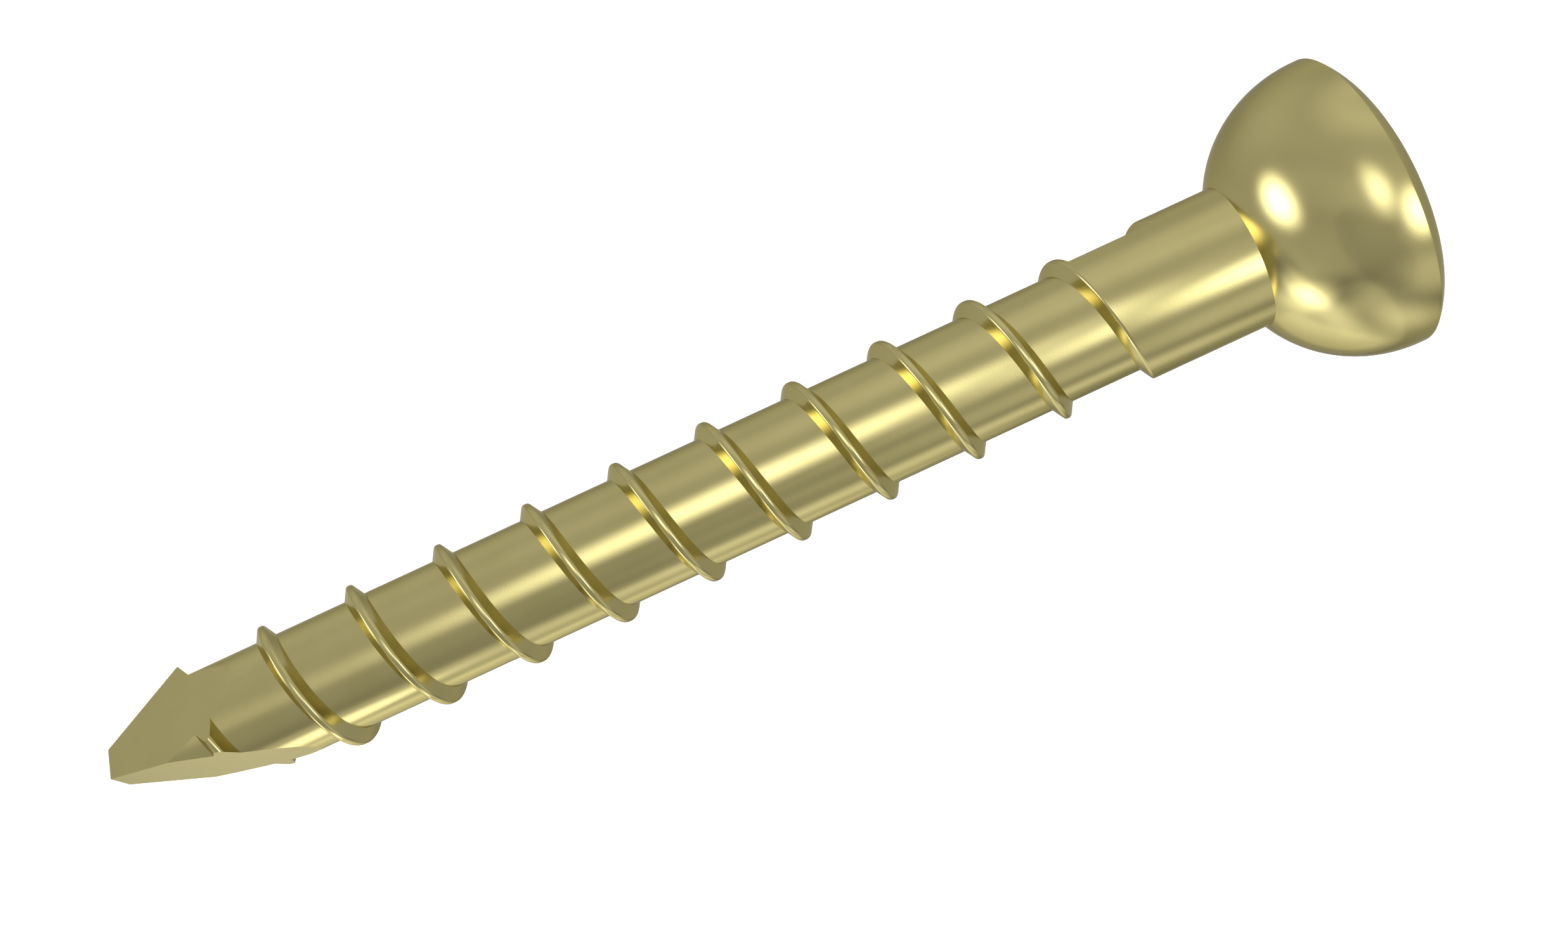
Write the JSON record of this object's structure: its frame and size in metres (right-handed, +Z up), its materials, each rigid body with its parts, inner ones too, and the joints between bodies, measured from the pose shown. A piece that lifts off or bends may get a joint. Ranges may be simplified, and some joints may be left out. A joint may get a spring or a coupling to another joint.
{
  "type": "interlocking bolt",
  "caption": "One-piece gold anodised titanium bolt that locks a bone nail: domed head with a hexagon socket, short smooth neck, coarse shallow thread and a ground self-drilling point.",
  "frame": {"origin": "bottom centre of the bounding box, on the surface that the bolt lies on", "axes": "+X runs from the point to the head along the longest extent, the axis rising about 4 degrees towards the head because head and thread both touch the surface; +Z is up"},
  "size_m": [0.0362, 0.008, 0.008],
  "materials": {
    "anodised_titanium": null
  },
  "bodies": {
    "root": {"interlocking_bolt": "anodised_titanium"}
  },
  "joints": []
}
